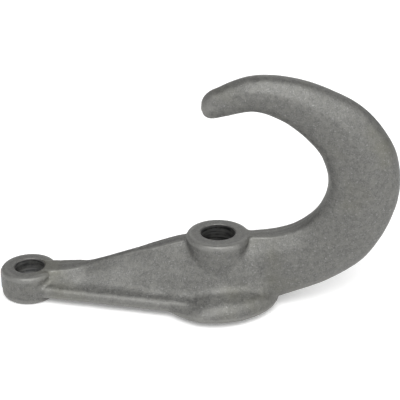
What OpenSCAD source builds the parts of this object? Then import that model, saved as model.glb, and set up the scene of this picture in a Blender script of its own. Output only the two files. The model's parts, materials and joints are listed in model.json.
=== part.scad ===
// Bolt-on safety chain hook: one drop-forged steel piece.
// Frame: the main bolt's axis meets the mounting plane at the origin, +Z runs up the bolts,
// and +X points from the tail eye towards the bend of the hook. The hook is symmetric about Y = 0.

/* [Bolt holes] */
// Distance between the two bolt axes
bolt_spacing = 114.3; // [105:0.1:125]
// Diameter of the main bolt hole, through the boss and the foot
main_hole_d = 20.6; // [16:0.1:24]
// Diameter of the tail bolt hole, through the eye
tail_hole_d = 18.3; // [12:0.1:22]

/* [Main boss and foot] */
// Outer diameter of the boss
boss_d = 38; // [32:0.5:40]
// Height of the boss's seat above the mounting plane
boss_h = 44.5; // [40:0.5:50]
// Largest diameter of the round foot, at its lower edge
foot_d = 77; // [68:0.5:84]
// Diameter of the foot's face that touches the mounting surface
foot_base_d = 57; // [50:0.5:66]
// Height that the foot's top rises towards the boss
foot_crown = 3; // [0:0.5:5]
// Diameter across the foot's top edge
foot_top_d = 72; // [60:0.5:76]
// Height of the foot's widest edge
foot_edge_h = 4.2; // [2:0.1:6]
// Height of the foot's top edge
foot_h = 14.5; // [10:0.5:16]

/* [Tail eye] */
// Outer diameter of the tail eye
eye_d = 34.2; // [28:0.1:38]
// Height of the tail eye's seat above the mounting plane
eye_h = 18.3; // [14:0.1:22]

/* [Shank and hook] */
// Gap between the shank flange's underside and the mounting plane
underside_gap = 3.8; // [2:0.1:6]
// Thickness of the shank's flange
flange_t = 7.8; // [5:0.1:10]
// Width of the flange where it leaves the tail eye
flange_eye_width = 30; // [24:0.5:32]
// Width of the flange at its far end, inside the foot
flange_foot_width = 61; // [50:0.5:70]
// Width of the hook across its flanks at the bend
bend_width = 28; // [22:0.5:34]
// Width of the hook across its flanks at the point
point_width = 16; // [12:0.5:20]

/* [Finish] */
// Radius on the upper rims of the boss and the eye
rim_r = 2; // [1:0.1:3]
// Radius on the foot's top edge
foot_top_r = 3; // [1:0.5:5]
// Radius on the eye's lower rim
eye_under_r = 2.5; // [1:0.5:4]
// How proud the trimmed flash stands at the tail eye
flash_h = 1; // [0.2:0.1:1.5]
// Width of the trimmed flash
flash_w = 2.4; // [1:0.1:4]
// Rings swept between two stations of the spine
rings_per_station = 4; // [2:1:6]

/* [Hidden] */
steel = [0.50, 0.50, 0.49];
bore_overrun = 1;
bore_facets = 96;
revolve_facets = 96;
arc_steps = 6;
corner_steps = 3;
cap_steps = 5;
cap_last_angle = 76;
cap_length = 9.4;
cap_fullness = 0.8;
cap_lookback = 0.2;
foot_draft = 12;
flash_inset = 2.8;
eye_x = -bolt_spacing;
bend_w = bend_width / 2;
point_w = point_width / 2;
gap = underside_gap;
web_z = gap + 1;
flange_eye_w = flange_eye_width / 2;
flange_foot_w = flange_foot_width / 2;
flange_top = gap + flange_t;

// The spine's stations, from the eye to the point. Each row gives the inner edge (x, z) and the
// outer edge (x, z) of one flat section, and then the section's outline in that plane:
// half-width at the inner edge, how far the shoulder lies below that edge and its half-width,
// half-width of the flanks, how far above the outer edge the flanks begin and end, half-width at
// the outer edge, and how much of the inner, shoulder and flank corners is rounded away.
stations = [
    [eye_x + 6, eye_h, eye_x + 6, web_z, 6.8, 4, 8.8, 10, 6.5, 2, 9, 0.2, 0.6, 0.3],
    [-94, 19.8, -94, web_z, 6.7, 4, 9.4, 12.8, 6.5, 2, 11, 0.2, 0.55, 0.3],
    [-85, 20.8, -85, web_z, 6.3, 4, 9.6, 15.4, 6.5, 2, 13, 0.2, 0.55, 0.3],
    [-77, 22.5, -77, web_z, 4.6, 4.6, 8.6, 17.2, 6.5, 2, 14, 0.2, 0.55, 0.3],
    [-60, 28.1, -60, web_z, 4.2, 7, 9.4, 19.4, 6.5, 2, 16, 0.15, 0.55, 0.3],
    [-42, 34, -42, web_z, 4.2, 10.5, 11.2, 19.8, 7, 2, 17, 0.15, 0.6, 0.3],
    [-22, 40.4, -22, web_z, 4.3, 9.8, 12.4, 18.6, 12, 2, 17, 0.15, 0.7, 0.3],
    [-10, 42.5, -10, web_z, 4.5, 8.8, 15.2, 20, 16.5, 2, 19, 0.15, 0.6, 0.4],
    [0, 43.4, 0, web_z, 4.6, 8.6, 15.8, 20, 19.5, 2, 20, 0.15, 0.5, 0.5],
    [10, 43.9, 13, 4.2, 4.7, 8.6, 15.4, 19, 20.5, 3, 17, 0.15, 0.6, 0.5],
    [20, 44.2, 26, 3.6, 4.8, 10.5, 12, 14.8, 21, 5, 12, 0.15, 0.8, 0.6],
    [35, 46.2, 45.6, 9.2, 6, 8.5, 12.2, 14.8, 20, 8, 8.5, 0.25, 0.8, 0.75],
    [47, 51, 66, 17, 6, 7, 11, 14.8, 20, 10, 7, 0.5, 0.7, 0.85],
    [56, 59, 87.3, 32.4, 5.5, 5.6, 9.8, bend_w, 21, 13, 6.5, 0.8, 0.5, 0.9],
    [61.2, 68.4, 98.9, 53.2, 5, 5.4, 9.6, bend_w, 22, 14, 6, 0.9, 0.4, 0.9],
    [62.9, 78, 103.9, 76, 5, 5.4, 9.6, bend_w, 22, 14, 6, 0.9, 0.4, 0.9],
    [61.3, 87.2, 99, 100, 5, 5.4, 9.6, bend_w, 20, 14, 6, 0.9, 0.5, 0.85],
    [56.2, 97.6, 82.5, 121.9, 5, 5.2, 9.4, bend_w - 0.4, 18, 13.5, 6, 0.9, 0.6, 0.8],
    [46.1, 108.2, 62.1, 133.2, 5, 5, 9, bend_w - 1.6, 15, 11.5, 5.5, 0.9, 0.7, 0.8],
    [33, 116.6, 40.1, 140.1, 4.5, 4.6, 8, bend_w - 3.2, 12.5, 9, 5, 0.9, 0.7, 0.8],
    [18.5, 120.6, 16.9, 140.6, 4.2, 4, 7, point_w + 1.2, 10.5, 7, 4.5, 0.9, 0.8, 0.9],
    [-0.4, 116.8, -1.9, 133.2, 4, 3.6, 6.2, point_w - 0.3, 9, 6, 4.5, 0.9, 1, 1],
];

// The flange along the foot of the shank, from the eye to under the boss, in the same columns.
flange_start_x = eye_x + 7.3;
flange_end_x = -6;
flange_ends = [[flange_start_x, flange_eye_w], [flange_end_x, flange_foot_w]];
flange_round = 2.5;
flange_bulge = 0.4 * flange_round;
flange_soft = [0.5, 0.8, 0.8];
flange_rows = [
    for (end = flange_ends)
    let (x = end[0], w = end[1])
    [
        x, flange_top, x, gap, w - flange_round, flange_bulge, w - flange_bulge,
        w, flange_t - flange_round, flange_round, w - flange_round, each flange_soft
    ]
];

// A smooth curve through the rows of a table, at row i + t.
function row(table, i) = table[min(max(i, 0), len(table) - 1)];
function between(a, b, c, d, t) =
    (2 * b + (c - a) * t + (2 * a - 5 * b + 4 * c - d) * t * t + (3 * b - a - 3 * c + d) * t * t * t) / 2;
function station(table, s) =
    let (i = min(floor(s), len(table) - 2))
    between(row(table, i - 1), row(table, i), row(table, i + 1), row(table, i + 2), s - i);

// One corner p of an outline, cut back towards its neighbours and rounded.
function corner(before, p, after, soft) =
    let (a = p + (before - p) * soft / 2, b = p + (after - p) * soft / 2)
    [
        for (j = [0:corner_steps])
        let (t = j / corner_steps)
        (1 - t) * (1 - t) * a + 2 * t * (1 - t) * p + t * t * b
    ];

// A station's outline as [distance from the outer edge, half-width], one half and then the other.
function half_outline(st, depth) =
    let (
        inner_w = st[4], shoulder_drop = st[5], shoulder_w = st[6], flank_w = st[7],
        flank_high = st[8], flank_low = st[9], outer_w = st[10],
        inner_soft = st[11], shoulder_soft = st[12], flank_soft = st[13],
        inner = [depth, inner_w], shoulder = [depth - shoulder_drop, shoulder_w],
        high = [flank_high, flank_w], low = [flank_low, flank_w], outer = [0, outer_w]
    )
    concat(
        corner([depth, -inner_w], inner, shoulder, inner_soft),
        corner(inner, shoulder, high, shoulder_soft),
        corner(shoulder, high, low, flank_soft),
        corner(high, low, outer, flank_soft),
        corner(low, outer, [0, -outer_w], flank_soft)
    );
function outline(st) =
    let (
        depth = norm([st[0] - st[2], st[1] - st[3]]),
        half = half_outline(st, depth),
        n = len(half)
    )
    concat(half, [for (i = [n - 1:-1:0]) [half[i][0], -half[i][1]]]);

// A station's ring of points in space.
function ring(st) =
    let (
        depth = norm([st[0] - st[2], st[1] - st[3]]),
        ax = (st[0] - st[2]) / depth, az = (st[1] - st[3]) / depth
    )
    [for (p = outline(st)) [st[2] + ax * p[0], p[1], st[3] + az * p[0]]];

// The rings of a whole table.
function sweep(table) =
    [for (i = [0:(len(table) - 1) * rings_per_station]) ring(station(table, i / rings_per_station))];

// The rounded point: the last ring, drawn in along a quarter ellipse.
function middle_of(st) = [(st[0] + st[2]) / 2, 0, (st[1] + st[3]) / 2];
function cap_ring(last, step) =
    let (
        end = len(stations) - 1,
        middle = middle_of(station(stations, end)),
        before = middle_of(station(stations, end - cap_lookback)),
        forward = (middle - before) / norm(middle - before),
        angle = cap_last_angle * step / cap_steps,
        narrowing = pow(cos(angle), cap_fullness)
    )
    [for (p = last) middle + (p - middle) * narrowing + forward * cap_length * sin(angle)];

// Closed skin over a list of rings that all have the same number of points.
module skin(rings) {
    n = len(rings[0]);
    last = len(rings) - 1;
    sides = [
        for (i = [0:last - 1], j = [0:n - 1])
        let (a = i * n + j, b = i * n + (j + 1) % n)
        each [[a, b, b + n], [a, b + n, a + n]]
    ];
    start_face = [for (j = [n - 1:-1:0]) j];
    end_face = [for (j = [0:n - 1]) last * n + j];
    polyhedron(points = [for (r = rings) each r], faces = concat(sides, [start_face, end_face]));
}

// Shank, saddle, bend and point, all one swept form.
module spine() {
    rings = sweep(stations);
    tip = [for (step = [1:cap_steps]) cap_ring(rings[len(rings) - 1], step)];
    skin(concat(rings, tip));
}

// Thin wide flange that stiffens the shank between the eye and the foot.
module flange() {
    skin(sweep(flange_rows));
}

// Part of a circle of radius r about (x, z), for a revolved profile.
function arc(x, z, r, a0, a1) = [
    for (i = [0:arc_steps])
    let (a = a0 + (a1 - a0) * i / arc_steps)
    [x + r * cos(a), z + r * sin(a)]
];

// Boss that carries the main bolt's head.
module boss() {
    r = boss_d / 2;
    rotate_extrude($fn = revolve_facets)
        polygon(concat(
            [[0, foot_h / 2], [r, foot_h / 2]],
            arc(r - rim_r, boss_h - rim_r, rim_r, 0, 90), [[0, boss_h]]
        ));
}

// Round foot that sits on the mounting surface: drafted sides over a shallow relief.
module foot() {
    top_x = foot_top_d / 2 - foot_top_r;
    rotate_extrude($fn = revolve_facets)
        polygon(concat(
            [[0, 0], [foot_base_d / 2, 0], [foot_d / 2, foot_edge_h]],
            arc(top_x, foot_h - foot_top_r, foot_top_r, foot_draft, 90),
            [[boss_d / 2, foot_h + foot_crown], [0, foot_h + foot_crown]]
        ));
}

// Eye for the tail bolt, with the trimmed flash at its end.
module eye() {
    r = eye_d / 2;
    translate([eye_x, 0, 0]) rotate_extrude($fn = revolve_facets)
        polygon(concat(
            [[0, 0]], arc(r - eye_under_r, eye_under_r, eye_under_r, -90, 0),
            arc(r - rim_r, eye_h - rim_r, rim_r, 0, 90), [[0, eye_h]]
        ));
    translate([eye_x - r - flash_h, -flash_w / 2, flash_inset])
        cube([r / 2, flash_w, eye_h - 2 * flash_inset]);
}

// Straight through hole of diameter d for a bolt at x, through a seat at height h.
module bolt_hole(x, d, h) {
    translate([x, 0, -bore_overrun]) cylinder(d = d, h = h + 2 * bore_overrun, $fn = bore_facets);
}

module hook_forging() {
    color(steel) difference() {
        union() {
            spine();
            flange();
            boss();
            foot();
            eye();
        }
        bolt_hole(0, main_hole_d, boss_h);
        bolt_hole(eye_x, tail_hole_d, eye_h);
    }
}

hook_forging();
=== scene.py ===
"""Looks of the bolt-on safety chain hook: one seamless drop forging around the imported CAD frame.

The forging is built as a distance field in millimetres (the swept spine, the boss, the foot and the
eye, blended with forging fillets), skinned with quads, and then drilled by two boolean cutters.
"""

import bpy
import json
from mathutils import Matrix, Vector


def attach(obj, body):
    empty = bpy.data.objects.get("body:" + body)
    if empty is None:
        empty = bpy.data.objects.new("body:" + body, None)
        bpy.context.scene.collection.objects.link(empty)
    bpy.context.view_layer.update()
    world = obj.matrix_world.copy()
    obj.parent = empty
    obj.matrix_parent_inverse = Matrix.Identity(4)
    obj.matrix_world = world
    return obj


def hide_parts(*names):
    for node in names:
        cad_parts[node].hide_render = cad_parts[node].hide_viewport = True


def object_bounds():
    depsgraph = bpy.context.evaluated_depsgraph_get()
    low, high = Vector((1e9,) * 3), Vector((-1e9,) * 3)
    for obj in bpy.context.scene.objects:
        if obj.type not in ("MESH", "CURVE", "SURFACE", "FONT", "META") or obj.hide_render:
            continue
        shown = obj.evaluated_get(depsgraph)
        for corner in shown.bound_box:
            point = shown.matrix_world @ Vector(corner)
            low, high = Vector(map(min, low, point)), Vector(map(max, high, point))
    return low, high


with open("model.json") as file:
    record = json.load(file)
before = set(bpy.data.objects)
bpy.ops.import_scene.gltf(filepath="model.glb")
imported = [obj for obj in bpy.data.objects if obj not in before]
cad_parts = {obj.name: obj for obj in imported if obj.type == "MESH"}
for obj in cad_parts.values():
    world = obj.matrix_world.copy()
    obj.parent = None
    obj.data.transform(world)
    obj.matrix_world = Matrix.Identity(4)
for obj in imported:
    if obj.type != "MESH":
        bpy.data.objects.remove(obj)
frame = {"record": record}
cad_box = [list(corner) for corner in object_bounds()]

import json
import math

import bmesh
import bpy
import numpy as np
from mathutils import Vector

MM = 0.001
SEED = 20

# --- Sizes, from the frame (mm) ---------------------------------------------------------------
mounts = {m["name"]: m for m in frame["record"]["mounts"]}
main_hole_r = mounts["main_bolt_hole"]["dims"]["r_mm"]
boss_h = mounts["main_bolt_hole"]["dims"]["length_mm"]
tail_hole_r = mounts["tail_bolt_hole"]["dims"]["r_mm"]
eye_h = mounts["tail_bolt_hole"]["dims"]["length_mm"]
eye_x = mounts["tail_bolt_hole"]["pos_m"][0] / MM
low_corner, high_corner = (np.array(c) / MM for c in cad_box)
foot_r = high_corner[1]

# --- Forging shapes that the frame only holds as a solid (mm) ----------------------------------
BOSS_R, BOSS_X, BOSS_Y, BOSS_BOTTOM = 19.0, 0.2, -0.8, 5.0
FOOT_H = 14.5
FOOT_SLACK = 0.6
FOOT_BASE_R = 28.5
FOOT_EDGE_H = 4.2
FOOT_TOP_R = 36.4
FOOT_TOP_ROUNDING = 2.8
FOOT_EDGE_ROUNDING = 1.6
EYE_R, EYE_OFFSET = 16.9, -0.5
FLASH_H, FLASH_HALF_W, FLASH_INSET = 1.0, 1.2, 2.4
FLASH_SIDE_ROUNDING, FLASH_END_ROUNDING, FLASH_DEPTH = 0.8, 2.0, 10.0
RIM_ROUNDING = 2.9
EYE_UNDER_ROUNDING = 3.0
FLANGE_LOW, FLANGE_TOP = 3.8, 11.6
FLANGE_START = (-107.0, 15.0)
FLANGE_END = (0.0, 31.4)
FLANGE_ROUNDING = 2.8
FOOT_CROWN, FLANGE_CROWN = 0.55, 0.45
# Swellings and hollows of the foot's sides: depth, and the angle and spread in degrees (90 is the front).
FOOT_SWELL = ((0.6, 104, 16), (-0.7, 60, 22))
FOOT_LEAN = ((2.4, 88, 27), (3.8, 124, 15))
LEAN_LIMIT = 1.2
# Along the hook, the foot's top rises from the flange's top, and its slope turns from the flange's line.
FOOT_RISE_X, FOOT_RISE_H = (-36, 6), (FLANGE_TOP - 0.2, FOOT_H - 0.3)
FOOT_TURN_X = (-24, 4)
# The flare at the web's base: its half-width at the level SKIRT_Z, and its top, by position along the hook.
SKIRT_X = (-66, -50, -40, -30, -20, -10, 0, 8, 14, 20, 27, 31, 34)
SKIRT_HALF_WIDTH = (7, 11.5, 14.2, 16.6, 19.2, 21.6, 22.6, 21.6, 19.8, 17.8, 15.8, 13, 7)
SKIRT_TOP = (16, 19, 22, 25, 27, 29, 30, 29, 28, 28, 27, 24, 18)
SKIRT_Z = 20.0
SKIRT_TILT = math.radians(26)
SKIRT_BOTTOM = FLANGE_LOW + 3
SKIRT_ROUNDING = 3.0
# Forging fillets: heights above the mounting plane, and the blend's width at each of them.
FLANGE_TO_FOOT = ((0, 4, 8, 11, 12.5), (0.6, 0.8, 1.2, 3, 2))
WEB_TO_SKIRT = 2.2
WEB_TO_BASE = ((4, 11), (1.0, 1.8))
WEB_TO_BOSS = ((26, 42), (0.5, 1.2))
WEB_TO_EYE = ((2, 5, 14, 17), (1.0, 2.0, 2.0, 0.8))
BEND_HALF_WIDTH = 14.0
POINT_HALF_WIDTH = 8.0

# The spine's stations, as in the design: inner edge (x, z), outer edge (x, z), then the section:
# inner half-width, drop and half-width of the shoulder, flank half-width, flank top and bottom
# above the outer edge, outer half-width, and how much of each corner is rounded away.
WEB_Z, BEND, POINT = FLANGE_LOW + 1, BEND_HALF_WIDTH, POINT_HALF_WIDTH
STATIONS = np.array([
    (eye_x + 6, eye_h, eye_x + 6, WEB_Z, 6.8, 4, 8.8, 10, 6.5, 2, 9, 0.2, 0.6, 0.3),
    (-94, 19.8, -94, WEB_Z, 6.7, 4, 9.4, 12.8, 6.5, 2, 11, 0.2, 0.55, 0.3),
    (-85, 20.8, -85, WEB_Z, 6.3, 4, 9.6, 15.4, 6.5, 2, 13, 0.2, 0.55, 0.3),
    (-77, 22.5, -77, WEB_Z, 4.6, 4.6, 8.6, 17.2, 6.5, 2, 14, 0.2, 0.55, 0.3),
    (-60, 28.1, -60, WEB_Z, 4.2, 7, 9.4, 19.4, 6.5, 2, 16, 0.15, 0.55, 0.3),
    (-42, 34, -42, WEB_Z, 4.2, 10.5, 11.2, 19.8, 7, 2, 17, 0.15, 0.6, 0.3),
    (-22, 40.4, -22, WEB_Z, 4.3, 9.8, 12.4, 18.6, 12, 2, 17, 0.15, 0.7, 0.3),
    (-10, 42.5, -10, WEB_Z, 4.5, 8.8, 15.2, 20, 16.5, 2, 19, 0.15, 0.6, 0.4),
    (0, 43.4, 0, WEB_Z, 4.6, 8.6, 15.8, 20, 19.5, 2, 20, 0.15, 0.5, 0.5),
    (10, 43.9, 13, 4.2, 4.7, 8.6, 15.4, 19, 20.5, 3, 17, 0.15, 0.6, 0.5),
    (20, 44.2, 26, 3.6, 4.8, 10.5, 12, 14.8, 21, 5, 12, 0.15, 0.8, 0.6),
    (35, 46.2, 45.6, 9.2, 6, 8.5, 12.2, 14.8, 20, 8, 8.5, 0.25, 0.8, 0.75),
    (47, 51, 66, 17, 6, 7, 11, 14.8, 20, 10, 7, 0.5, 0.7, 0.85),
    (56, 59, 87.3, 32.4, 5.5, 5.6, 9.8, BEND, 21, 13, 6.5, 0.8, 0.5, 0.9),
    (61.2, 68.4, 98.9, 53.2, 5, 5.4, 9.6, BEND, 22, 14, 6, 0.9, 0.4, 0.9),
    (62.9, 78, 103.9, 76, 5, 5.4, 9.6, BEND, 22, 14, 6, 0.9, 0.4, 0.9),
    (61.3, 87.2, 99, 100, 5, 5.4, 9.6, BEND, 20, 14, 6, 0.9, 0.5, 0.85),
    (56.2, 97.6, 82.5, 121.9, 5, 5.2, 9.4, BEND - 0.4, 18, 13.5, 6, 0.9, 0.6, 0.8),
    (46.1, 108.2, 62.1, 133.2, 5, 5, 9, BEND - 1.6, 15, 11.5, 5.5, 0.9, 0.7, 0.8),
    (33, 116.6, 40.1, 140.1, 4.5, 4.6, 8, BEND - 3.2, 12.5, 9, 5, 0.9, 0.7, 0.8),
    (18.5, 120.6, 16.9, 140.6, 4.2, 4, 7, POINT + 1.2, 10.5, 7, 4.5, 0.9, 0.8, 0.9),
    (-0.4, 116.8, -1.9, 133.2, 4, 3.6, 6.2, POINT - 0.3, 9, 6, 4.5, 0.9, 1, 1),
])
CAP_LENGTH = 9.4
CAP_FULLNESS = 0.8
CAP_LOOKBACK = 0.2

# Unevenness: seed step, number of waves, longest and shortest wave, and height (mm).
RIPPLES = ((0, 22, 45, 14, 0.10), (1, 22, 12, 5, 0.035))
FLASH_LINE_H, FLASH_LINE_W = 0.28, 1.1
MARKS_SINK = 0.15
MARKS_REACH = 2.5
SEAT_REACH, FOOT_FACE_REACH = 1.5, 1.2

# --- Distance field ----------------------------------------------------------------------------
CELL = 0.8
MARGIN = 3.0
GRID_SHIFT = (0.03, 0.02, 0.01)
SAMPLES_PER_STATION = 25
BATCH = 4000
MIN_ROUNDING = 0.05


def smooth_max(a, b, k):
    """The larger of a and b, rounded over where they are within k of each other."""
    h = np.clip(0.5 + 0.5 * (a - b) / k, 0, 1)
    return b + (a - b) * h + k * h * (1 - h)


def smooth_min(a, b, k):
    """The smaller of a and b, filleted in the same way."""
    return -smooth_max(-a, -b, k)


def stations_at(s):
    """The station rows interpolated smoothly at the positions s."""
    last = len(STATIONS) - 1
    i = np.clip(np.floor(s).astype(int), 0, last - 1)
    t = (s - i)[:, None]
    a, b, c, d = (STATIONS[np.clip(i + step, 0, last)] for step in (-1, 0, 1, 2))
    square, cube = 2 * a - 5 * b + 4 * c - d, 3 * b - a - 3 * c + d
    return (2 * b + (c - a) * t + square * t ** 2 + cube * t ** 3) / 2


def ladder(rows):
    """Outer ends, unit axes towards the inner edge, unit forward directions and depths of the sections."""
    axis = rows[:, 0:2] - rows[:, 2:4]
    depth = np.linalg.norm(axis, axis=1)
    axis = axis / depth[:, None]
    forward = np.stack([axis[:, 1], -axis[:, 0]], axis=1)
    return rows[:, 2:4], axis, forward, depth


def nearest_sections(points):
    """The continuous station position of the section that each (x, z) point lies in."""
    samples = np.linspace(0, len(STATIONS) - 1, SAMPLES_PER_STATION * (len(STATIONS) - 1) + 1)
    outer, axis, forward, depth = ladder(stations_at(samples))
    place = np.empty(len(points))
    for begin in range(0, len(points), BATCH):
        p = points[begin:begin + BATCH, None, :] - outer[None]
        along = np.clip(np.einsum("pjk,jk->pj", p, axis), 0, depth)
        gap = np.linalg.norm(p - along[..., None] * axis, axis=2)
        best = gap.argmin(axis=1)
        ahead = np.einsum("pjk,jk->pj", p, forward)
        rows = np.arange(len(best))
        here = ahead[rows, best]
        other = np.clip(best + np.where(here > 0, 1, -1), 0, len(samples) - 1)
        there = ahead[rows, other]
        share = np.where(here * there < 0, here / np.where(here == there, 1, here - there), 0)
        place[begin:begin + BATCH] = samples[best] + share * (samples[other] - samples[best])
    return place


def section_field(rows, depth, u, y):
    """Signed distance to a rounded section, at height u above its outer edge and half-width y."""
    depth = depth[:, None]
    inner_w, drop, shoulder_w, flank_w, high, low, outer_w, crest, shoulder, flank = (
        rows[:, n, None] for n in range(4, 14))
    corners = [
        (depth, inner_w), (depth - drop, shoulder_w), (high, flank_w), (low, flank_w), (0 * depth, outer_w)
    ]
    sides = list(zip(corners[:-1], corners[1:]))
    lengths = [2 * inner_w] + [np.hypot(b[0] - a[0], b[1] - a[1]) for a, b in sides] + [2 * outer_w]
    # Outward normals of the inner face, the four sides and the outer face, as (u, y).
    normals = [(1 + 0 * depth, 0 * depth)]
    normals += [((b[1] - a[1]) / n, (a[0] - b[0]) / n) for (a, b), n in zip(sides, lengths[1:])]
    normals += [(-1 + 0 * depth, 0 * depth)]
    field = u - depth
    for k, soft in enumerate((crest, shoulder, flank, flank, flank)):
        (nu, ny), (mu, my) = normals[k], normals[k + 1]
        turn = np.abs(nu * my - ny * mu)
        rounding = np.maximum(soft / 2 * np.sqrt(lengths[k] * lengths[k + 1]) * turn, MIN_ROUNDING)
        face = (u - corners[k][0]) * mu + (y - corners[k][1]) * my
        field = smooth_max(field, face, rounding)
    return field


def spine_field(x, y, z):
    """The swept shank, saddle, bend and point."""
    grid = np.stack(np.meshgrid(x, z, indexing="ij"), axis=-1).reshape(-1, 2)
    place = nearest_sections(grid)
    rows = stations_at(place)
    outer, axis, forward, depth = ladder(rows)
    offset = grid - outer
    u = (offset * axis).sum(axis=1)[:, None]
    ahead = (offset * forward).sum(axis=1)
    half_width = np.broadcast_to(np.abs(y)[None], (len(grid), len(y)))
    field = section_field(rows, depth, u, half_width)

    at_start = (place <= 0) & (ahead < 0)
    field[at_start] = np.maximum(field[at_start], -ahead[at_start, None])

    at_end = (place >= len(STATIONS) - 1) & (ahead > 0)
    last, before = stations_at(np.array([len(STATIONS) - 1, len(STATIONS) - 1 - CAP_LOOKBACK]))
    middle = (last[0:2] + last[2:4]) / 2
    run = middle - (before[0:2] + before[2:4]) / 2
    run = run / np.linalg.norm(run)
    _, end_axis, _, end_depth = ladder(last[None])
    basis = np.linalg.inv(np.stack([run, end_axis[0]], axis=1))
    beyond, across = basis @ (grid[at_end] - middle).T
    narrow = np.clip(1 - (beyond / CAP_LENGTH) ** 2, 1e-4, 1) ** (CAP_FULLNESS / 2)
    narrow = narrow[:, None]
    cap = section_field(
        np.broadcast_to(last, (len(beyond), len(last))), np.full(len(beyond), end_depth[0]),
        end_depth[0] / 2 + across[:, None] / narrow, half_width[at_end] / narrow)
    field[at_end] = np.maximum(cap * narrow, beyond[:, None] - CAP_LENGTH)
    return field.reshape(len(x), len(z), len(y)).transpose(0, 2, 1)


def disc_field(x, y, z, centre, radius, bottom, top, low_round, top_round):
    """A round pad with rounded rims."""
    rho = np.hypot(x[:, None, None] - centre[0], y[None, :, None] - centre[1])
    z = z[None, None, :]
    field = smooth_max(rho - radius, z - top, top_round)
    return smooth_max(field, bottom - z, low_round)


def slope_field(rho, z, r0, z0, r1, z1):
    """Signed distance to a cone through (r0, z0) and (r1, z1), with its outside on that line's right."""
    length = math.hypot(r1 - r0, z1 - z0)
    return ((rho - r0) * (z1 - z0) - (z - z0) * (r1 - r0)) / length


def flange_half_width(x):
    """Half-width of the flange at x, held past its ends."""
    return np.interp(x, *zip(FLANGE_START, FLANGE_END))


def swellings(angle, table):
    """A sum of soft swellings round the foot."""
    return sum(depth * np.exp(-((angle - middle) / spread) ** 2) for depth, middle, spread in table)


def foot_field(x, y, z):
    """The round foot: drafted sides under a crowned top, and a shallow relief under its widest edge."""
    rho = np.hypot(x[:, None, None], y[None, :, None])
    angle = np.degrees(np.arctan2(-y[None, :, None], x[:, None, None]))
    rho = rho - (swellings(angle, FOOT_SWELL) - FOOT_SLACK)
    flat_front = swellings(angle, FOOT_LEAN)
    z = z[None, None, :]
    leaning = np.clip((z - FOOT_EDGE_H) / (FOOT_H - FOOT_EDGE_H), 0, LEAN_LIMIT)
    side = slope_field(rho + flat_front * leaning, z, foot_r, FOOT_EDGE_H, FOOT_TOP_R, FOOT_H)
    relief = slope_field(rho, z, FOOT_BASE_R, 0, foot_r, FOOT_EDGE_H)
    top_h = np.interp(x, FOOT_RISE_X, FOOT_RISE_H)[:, None, None]
    share = np.interp(x, FOOT_TURN_X, (0, 1))[:, None, None]
    from_line = flange_half_width(x)[:, None, None] - np.abs(y[None, :, None])
    from_rim = FOOT_TOP_R - rho - flat_front
    top = z - top_h - FOOT_CROWN * (share * from_rim + (1 - share) * from_line - FOOT_TOP_ROUNDING)
    field = smooth_max(side, top, FOOT_TOP_ROUNDING)
    return smooth_max(field, relief, FOOT_EDGE_ROUNDING)


def flash_field(x, y, z):
    """The trimmed flash, standing a little proud at the end of the eye."""
    end = eye_x + EYE_OFFSET - EYE_R - FLASH_H
    x, y, z = x[:, None, None], y[None, :, None], z[None, None, :]
    side = smooth_max(end - x, np.abs(y) - FLASH_HALF_W, FLASH_SIDE_ROUNDING)
    middle, half = eye_h / 2, eye_h / 2 - FLASH_INSET
    field = smooth_max(side, np.abs(z - middle) - half, FLASH_END_ROUNDING)
    return np.maximum(field, x - eye_x + FLASH_DEPTH)


def flange_field(x, y, z):
    """The tapering flange under the shank."""
    (x0, w0), (x1, w1) = FLANGE_START, FLANGE_END
    slope = (w1 - w0) / (x1 - x0)
    x = x[:, None, None]
    side = (np.abs(y[None, :, None]) - w0 - slope * (x - x0)) / math.hypot(1, slope)
    z = z[None, None, :]
    field = smooth_max(side, z - FLANGE_TOP + FLANGE_CROWN * (side + FLANGE_ROUNDING), FLANGE_ROUNDING)
    field = smooth_max(field, FLANGE_LOW - z, FLANGE_ROUNDING)
    return np.maximum(field, np.maximum(x0 - x, x - x1))


def skirt_field(x, y, z):
    """The flare at the web's base, sloping down to the flange and the foot."""
    half_width = np.interp(x, SKIRT_X, SKIRT_HALF_WIDTH)[:, None, None]
    top = np.interp(x, SKIRT_X, SKIRT_TOP)[:, None, None]
    z = z[None, None, :]
    across = np.abs(y[None, :, None]) - half_width
    slope = across * math.cos(SKIRT_TILT) + (z - SKIRT_Z) * math.sin(SKIRT_TILT)
    field = smooth_max(slope, z - top, SKIRT_ROUNDING)
    field = np.maximum(field, SKIRT_BOTTOM - z)
    return np.maximum(field, np.maximum(SKIRT_X[0] - x, x - SKIRT_X[-1])[:, None, None])


def forging_field(x, y, z):
    """The whole undrilled forging."""
    height = z[None, None, :]
    boss = disc_field(x, y, z, (BOSS_X, BOSS_Y), BOSS_R, BOSS_BOTTOM, boss_h, 1, RIM_ROUNDING)
    eye = disc_field(x, y, z, (eye_x + EYE_OFFSET, 0), EYE_R, 0, eye_h, EYE_UNDER_ROUNDING, RIM_ROUNDING)
    eye = smooth_min(eye, flash_field(x, y, z), FLASH_SIDE_ROUNDING)
    base = smooth_min(flange_field(x, y, z), foot_field(x, y, z), np.interp(height, *FLANGE_TO_FOOT))

    field = smooth_min(spine_field(x, y, z), skirt_field(x, y, z), WEB_TO_SKIRT)
    field = smooth_min(field, base, np.interp(height, *WEB_TO_BASE))
    field = smooth_min(field, boss, np.interp(height, *WEB_TO_BOSS))
    field = smooth_min(field, eye, np.interp(height, *WEB_TO_EYE))
    return np.maximum(field, -height)


def ripple(points, seed, waves, longest, shortest, size):
    """A sum of seeded sine waves: the slow unevenness of a forged surface."""
    rng = np.random.default_rng(seed)
    total = np.zeros(len(points))
    for _ in range(waves):
        direction = rng.normal(size=3)
        direction /= np.linalg.norm(direction)
        length = math.exp(rng.uniform(math.log(shortest), math.log(longest)))
        total += np.sin(points @ direction * (2 * math.pi / length) + rng.uniform(0, 2 * math.pi))
    return total * size / math.sqrt(waves)


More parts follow.
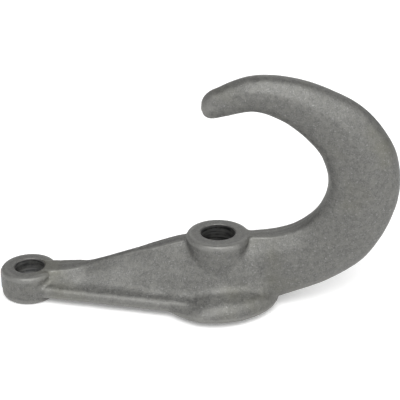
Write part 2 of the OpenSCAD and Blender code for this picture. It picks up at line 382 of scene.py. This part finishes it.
def add_forging_marks(field, x, y, z):
    """Unevenness all over, and the trimmed flash line along the parting plane y = 0."""
    near = np.argwhere(np.abs(field) < MARKS_REACH)
    points = np.stack([x[near[:, 0]], y[near[:, 1]], z[near[:, 2]]], axis=1)
    px, py, pz = points.T
    marks = sum(ripple(points, SEED + step, *shape) for step, *shape in RIPPLES)
    flash = FLASH_LINE_H * np.exp(-(py / FLASH_LINE_W) ** 2)
    # The two seats and the foot's face stay flat.
    on_seat = np.exp(-(pz / FOOT_FACE_REACH) ** 2)
    for centre, radius, seat_h in ((0, BOSS_R, boss_h), (eye_x, EYE_R, eye_h)):
        on_pad = np.hypot(px - centre, py) < radius + 1
        on_seat = np.maximum(on_seat, np.exp(-((pz - seat_h) / SEAT_REACH) ** 2) * on_pad)
    field[tuple(near.T)] -= (marks + flash - MARKS_SINK) * (1 - on_seat)


# --- Skin --------------------------------------------------------------------------------------
CORNERS = [(a, b, c) for a in (0, 1) for b in (0, 1) for c in (0, 1)]
CELL_EDGES = [
    (p, q) for p in CORNERS for q in CORNERS
    if sum(q) == sum(p) + 1 and all(i <= j for i, j in zip(p, q))
]
RELAX_ROUNDS, RELAX_PULL = 4, 0.6
CONVEXITY = "convexity"


def surface_nets(field):
    """Quads over the zero level of a grid: one vertex per crossed cell, one quad per crossed grid edge."""
    inside = field < 0
    n = np.array(field.shape) - 1
    count = sum(inside[a:a + n[0], b:b + n[1], c:c + n[2]].astype(np.int8) for a, b, c in CORNERS)
    cells = np.argwhere((count > 0) & (count < 8))
    index = np.full(n, -1)
    index[tuple(cells.T)] = np.arange(len(cells))
    total, crossings = np.zeros((len(cells), 3)), np.zeros(len(cells))
    for p, q in CELL_EDGES:
        p, q = np.array(p), np.array(q)
        fp, fq = field[tuple((cells + p).T)], field[tuple((cells + q).T)]
        crossed = (fp < 0) != (fq < 0)
        t = np.where(crossed, fp / np.where(crossed, fp - fq, 1), 0)
        total += np.where(crossed[:, None], p + t[:, None] * (q - p), 0)
        crossings += crossed
    vertices = cells + total / crossings[:, None]
    quads = []
    for axis in range(3):
        low, high = [slice(None)] * 3, [slice(None)] * 3
        low[axis], high[axis] = slice(0, -1), slice(1, None)
        at = np.argwhere(inside[tuple(low)] != inside[tuple(high)])
        step_b, step_c = np.eye(3, dtype=int)[(axis + 1) % 3], np.eye(3, dtype=int)[(axis + 2) % 3]
        around = [at - step_b - step_c, at - step_c, at, at - step_b]
        quad = np.stack([index[tuple(cell.T)] for cell in around], axis=1)
        leaving = inside[tuple(at.T)]
        quads.append(np.where(leaving[:, None], quad, quad[:, ::-1]))
    return vertices, np.concatenate(quads)


def sample(grid, p):
    """Trilinear value of a grid at fractional positions."""
    base = np.clip(np.floor(p).astype(int), 0, np.array(grid.shape) - 2)
    t = p - base
    value = 0
    for corner in CORNERS:
        weight = np.prod(np.where(corner, t, 1 - t), axis=1)
        value = value + weight * grid[tuple((base + corner).T)]
    return value


def relax(vertices, quads, field):
    """Evens the quads out along the surface and draws their corners back onto it."""
    slopes = [np.gradient(field, axis=axis) for axis in range(3)]
    pairs = np.concatenate([quads[:, [i, (i + 1) % 4]] for i in range(4)])
    degree = np.bincount(pairs.ravel(), minlength=len(vertices))
    for _ in range(RELAX_ROUNDS):
        pull = np.zeros_like(vertices)
        for axis in range(3):
            pull[:, axis] = np.bincount(pairs[:, 0], vertices[pairs[:, 1], axis], len(vertices))
            pull[:, axis] += np.bincount(pairs[:, 1], vertices[pairs[:, 0], axis], len(vertices))
        vertices = vertices + RELAX_PULL * (pull / degree[:, None] - vertices)
        for _ in range(2):
            value = sample(field, vertices)
            normal = np.stack([sample(s, vertices) for s in slopes], axis=1)
            vertices = vertices - normal * (value / np.maximum((normal ** 2).sum(axis=1), 1e-9))[:, None]
    return vertices


def forging_mesh():
    """The undrilled forging as one skin of quads, with its convexity kept for the lightened edges: part
    edge wear, part painted highlight.
    """
    axes = [
        np.arange(low - MARGIN + shift, high + MARGIN, CELL)
        for low, high, shift in zip(low_corner, high_corner, GRID_SHIFT)
    ]
    x, y, z = axes
    field = forging_field(x, y, z)
    add_forging_marks(field, x, y, z)
    field = np.maximum(field, -z[None, None, :])
    field = field.astype(np.float32) / CELL
    vertices, quads = surface_nets(field)
    vertices = relax(vertices, quads, field)
    bend = sum(np.gradient(np.gradient(field, axis=axis), axis=axis) for axis in range(3))
    convexity = sample(bend, vertices) / CELL
    place = np.array([a[0] for a in axes]) + vertices * CELL
    place = np.clip(place, low_corner, high_corner)
    mesh = bpy.data.meshes.new("hook_forging_body")
    mesh.vertices.add(len(place))
    mesh.vertices.foreach_set("co", (place * MM).ravel())
    mesh.loops.add(quads.size)
    mesh.loops.foreach_set("vertex_index", quads.ravel())
    mesh.polygons.add(len(quads))
    mesh.polygons.foreach_set("loop_start", np.arange(0, quads.size, 4))
    mesh.attributes.new(CONVEXITY, "FLOAT", "POINT").data.foreach_set("value", convexity)
    mesh.update(calc_edges=True)
    mesh.validate()
    return mesh


# --- Materials ---------------------------------------------------------------------------------
def new_material(name):
    """A node material and its principled shader."""
    material = bpy.data.materials.new(name)
    material.use_nodes = True
    return material, material.node_tree.nodes["Principled BSDF"]


class Weave:
    """Short hand for adding and linking shader nodes."""

    def __init__(self, material):
        self.nodes = material.node_tree.nodes
        self.links = material.node_tree.links
        self.place = self.nodes.new("ShaderNodeTexCoord").outputs["Object"]

    def put(self, value, socket):
        if isinstance(value, bpy.types.NodeSocket):
            self.links.new(value, socket)
        else:
            socket.default_value = value

    def noise(self, scale, detail=2.0, roughness=0.5, place=None):
        node = self.nodes.new("ShaderNodeTexNoise")
        node.inputs["Scale"].default_value = scale
        node.inputs["Detail"].default_value = detail
        node.inputs["Roughness"].default_value = roughness
        self.links.new(place or self.place, node.inputs["Vector"])
        return node.outputs["Fac"]

    def spread(self, value, from_low, from_high, to_low=0.0, to_high=1.0):
        node = self.nodes.new("ShaderNodeMapRange")
        node.interpolation_type = "SMOOTHSTEP"
        for socket, v in zip(node.inputs, (value, from_low, from_high, to_low, to_high)):
            self.put(v, socket)
        return node.outputs["Result"]

    def math(self, operation, a, b):
        node = self.nodes.new("ShaderNodeMath")
        node.operation = operation
        self.put(a, node.inputs[0])
        self.put(b, node.inputs[1])
        return node.outputs[0]

    def mix(self, share, a, b):
        node = self.nodes.new("ShaderNodeMix")
        node.data_type = "RGBA"
        self.put(share, node.inputs[0])
        self.put(a, node.inputs[6])
        self.put(b, node.inputs[7])
        return node.outputs[2]

    def bump(self, height, distance, strength=1.0, normal=None):
        node = self.nodes.new("ShaderNodeBump")
        node.inputs["Distance"].default_value = distance
        node.inputs["Strength"].default_value = strength
        self.links.new(height, node.inputs["Height"])
        if normal:
            self.links.new(normal, node.inputs["Normal"])
        return node.outputs["Normal"]


def grey(value, warmth=0.0):
    """A grey whose blue is lowered by its warmth, and whose red is raised a little."""
    return (value * (1 + 0.2 * warmth), value, value * (1 - 2.6 * warmth), 1)


def blasted_steel():
    """Shot-blasted steel: fine grain, bright specks painted as glints, mottling, a little rust tint, and
    convex edges lightened, partly as edge wear and partly as a painted highlight.
    """
    material, shader = new_material("blasted_forged_steel")
    weave = Weave(material)
    grain = weave.noise(1300, 3, 0.65)
    dimples = weave.noise(560, 2, 0.6)
    mottle = weave.noise(340, 3, 0.65)
    patches = weave.noise(26, 3, 0.55)
    # Bright specks: painted glints of the blasted facets.
    glint_specks = weave.spread(weave.noise(800, 2, 0.5), 0.60, 0.76)
    colour = weave.mix(weave.spread(grain, 0.3, 0.7), grey(0.104, 0.016), grey(0.178, 0.016))
    colour = weave.mix(weave.spread(dimples, 0.35, 0.65, 0.0, 0.45), colour, grey(0.100, 0.02))
    colour = weave.mix(weave.spread(mottle, 0.4, 0.65, 0.0, 0.6), colour, grey(0.188, 0.026))
    colour = weave.mix(weave.spread(patches, 0.52, 0.75, 0.0, 0.4), colour, grey(0.150, 0.09))
    colour = weave.mix(weave.math("MULTIPLY", glint_specks, 0.42), colour, grey(0.33))
    # Convex edges get a lighter colour: partly edge wear, partly a painted highlight where the rims catch
    # the light.
    convexity = weave.nodes.new("ShaderNodeAttribute")
    convexity.attribute_name = CONVEXITY
    wear_and_highlight = weave.spread(convexity.outputs["Fac"], 0.10, 0.32, 0.0, 0.34)
    colour = weave.mix(wear_and_highlight, colour, grey(0.30, 0.02))
    weave.put(colour, shader.inputs["Base Color"])
    weave.put(weave.spread(mottle, 0.3, 0.7, 0.50, 0.60), shader.inputs["Roughness"])
    shader.inputs["Metallic"].default_value = 0.85
    fine = weave.bump(grain, 0.00010, 0.7)
    weave.put(weave.bump(dimples, 0.00022, 0.7, fine), shader.inputs["Normal"])
    return material


def drilled_steel():
    """Bore walls: darker bright-drawn steel with faint rings round each hole's axis."""
    material, shader = new_material("drilled_steel")
    weave = Weave(material)
    stretch = weave.nodes.new("ShaderNodeMapping")
    stretch.inputs["Scale"].default_value = (0.06, 0.06, 1.0)
    weave.links.new(weave.place, stretch.inputs["Vector"])
    rings = weave.noise(900, 2, 0.6, stretch.outputs["Vector"])
    blotch = weave.noise(240, 3, 0.6)
    colour = weave.mix(weave.spread(rings, 0.35, 0.65), grey(0.16), grey(0.42))
    colour = weave.mix(weave.spread(blotch, 0.4, 0.7, 0.0, 0.5), colour, grey(0.5, 0.02))
    weave.put(colour, shader.inputs["Base Color"])
    weave.put(weave.spread(rings, 0.3, 0.7, 0.28, 0.45), shader.inputs["Roughness"])
    shader.inputs["Metallic"].default_value = 1.0
    weave.put(weave.bump(rings, 0.00025, 0.6), shader.inputs["Normal"])
    return material


# --- Drilling ----------------------------------------------------------------------------------
CHAMFER = 0.5
DRILL_SIDES = 128
DRILL_OVERRUN = 1.0
SHARP_ANGLE = math.radians(38)


def drill(name, x, radius, height, materials):
    """A cutter for one through hole, with a small chamfer at each mouth that keeps the outside look."""
    wide = radius + CHAMFER + DRILL_OVERRUN
    rings = [
        (wide, -DRILL_OVERRUN), (radius, CHAMFER),
        (radius, height - CHAMFER), (wide, height + DRILL_OVERRUN),
    ]
    mesh = bmesh.new()
    loops = []
    for r, z in rings:
        loops.append([
            mesh.verts.new(((x + r * math.cos(a)) * MM, r * math.sin(a) * MM, z * MM))
            for a in (2 * math.pi * k / DRILL_SIDES for k in range(DRILL_SIDES))
        ])
    for low, high in zip(loops, loops[1:]):
        for k in range(DRILL_SIDES):
            after = (k + 1) % DRILL_SIDES
            face = mesh.faces.new((low[k], low[after], high[after], high[k]))
            face.material_index = 0 if low is loops[1] else 1
    mesh.faces.new(loops[0][::-1])
    mesh.faces.new(loops[-1])
    data = bpy.data.meshes.new(name)
    mesh.to_mesh(data)
    mesh.free()
    for material in materials:
        data.materials.append(material)
    cutter = bpy.data.objects.new(name, data)
    bpy.context.scene.collection.objects.link(cutter)
    return cutter


def build_forging():
    """The drilled forging, with bright bores in blasted steel."""
    body = bpy.data.objects.new("forging", forging_mesh())
    bpy.context.scene.collection.objects.link(body)
    steel, bore = blasted_steel(), drilled_steel()
    body.data.materials.append(steel)
    body.data.materials.append(bore)
    cutters = [
        drill("main_drill", 0, main_hole_r, boss_h, (bore, steel)),
        drill("tail_drill", eye_x, tail_hole_r, eye_h, (bore, steel)),
    ]
    for cutter in cutters:
        cut = body.modifiers.new(cutter.name, "BOOLEAN")
        cut.operation = "DIFFERENCE"
        cut.solver = "EXACT"
        cut.material_mode = "TRANSFER"
        cut.object = cutter
    drilled = bpy.data.meshes.new_from_object(body.evaluated_get(bpy.context.evaluated_depsgraph_get()))
    body.modifiers.clear()
    body.data = drilled
    for cutter in cutters:
        bpy.data.objects.remove(cutter)
    for face in drilled.polygons:
        face.use_smooth = True
    drilled.set_sharp_from_angle(angle=SHARP_ANGLE)
    return body


forging = build_forging()
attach(forging, "root")
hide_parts("hook_forging")

# --- Stage, light and camera -------------------------------------------------------------------
def area_light(name, place, target, size, power):
    """A rectangular lamp of the given size and power in watts, aimed at the target."""
    data = bpy.data.lights.new(name, "AREA")
    data.shape = "RECTANGLE"
    data.size, data.size_y = size
    data.energy = power
    lamp = bpy.data.objects.new(name, data)
    lamp.location = place
    lamp.rotation_euler = (Vector(target) - Vector(place)).to_track_quat("-Z", "Y").to_euler()
    bpy.context.scene.collection.objects.link(lamp)


FLOOR_HALF = 4.0
FLOOR_GAP = 0.0002
FLOOR_GLOW = 0.18


def build_stage():
    """A plain pale floor, glowing a little so that its shadows stay light."""
    mesh = bpy.data.meshes.new("floor")
    corners = [(i * FLOOR_HALF, j * FLOOR_HALF, 0) for i, j in ((-1, -1), (1, -1), (1, 1), (-1, 1))]
    mesh.from_pydata(corners, [], [(0, 1, 2, 3)])
    floor = bpy.data.objects.new("floor", mesh)
    bpy.context.scene.collection.objects.link(floor)
    material, shader = new_material("pale_floor")
    shader.inputs["Base Color"].default_value = (0.95, 0.95, 0.95, 1)
    shader.inputs["Roughness"].default_value = 0.9
    shader.inputs["Emission Color"].default_value = (1, 1, 1, 1)
    shader.inputs["Emission Strength"].default_value = FLOOR_GLOW
    mesh.materials.append(material)
    floor.location.z = -FLOOR_GAP


build_stage()
area_light("key", (0.07, -2.05, 2.55), (0, 0, 0.06), (2.8, 1.7), 93)
area_light("side", (1.4, -0.2, 1.5), (0, 0, 0.06), (0.9, 0.9), 5)
area_light("fill_right", (1.0, -0.8, 0.5), (0, 0, 0.06), (0.8, 0.8), 3.5)
area_light("fill_left", (-1.0, -0.9, 0.5), (0, 0, 0.06), (0.8, 0.8), 2)
area_light("back", (0.1, 1.3, 0.8), (0, 0, 0.05), (1.4, 0.8), 4)
WORLD_STRENGTH = 0.46
world = bpy.data.worlds.new("studio")
world.use_nodes = True
world.node_tree.nodes["Background"].inputs["Color"].default_value = (1, 1, 1, 1)
world.node_tree.nodes["Background"].inputs["Strength"].default_value = WORLD_STRENGTH
bpy.context.scene.world = world

CAMERA_AZIMUTH = 3.3
CAMERA_ELEVATION = 25.1
CAMERA_DISTANCE = 0.5824
CAMERA_TARGET = Vector((-0.0106, 0, 0.065))
SENSOR_WIDTH = 36
LENS_PER_WIDTH = 2.5
azimuth, elevation = math.radians(CAMERA_AZIMUTH), math.radians(CAMERA_ELEVATION)
back = Vector((
    math.sin(azimuth) * math.cos(elevation), -math.cos(azimuth) * math.cos(elevation), math.sin(elevation)))
camera_data = bpy.data.cameras.new("camera")
camera_data.sensor_width = SENSOR_WIDTH
camera_data.lens = SENSOR_WIDTH * LENS_PER_WIDTH
camera = bpy.data.objects.new("camera", camera_data)
camera.location = CAMERA_TARGET + back * CAMERA_DISTANCE
camera.rotation_euler = (-back).to_track_quat("-Z", "Y").to_euler()
bpy.context.scene.collection.objects.link(camera)
bpy.context.scene.camera = camera
bpy.context.scene.view_settings.view_transform = "Standard"
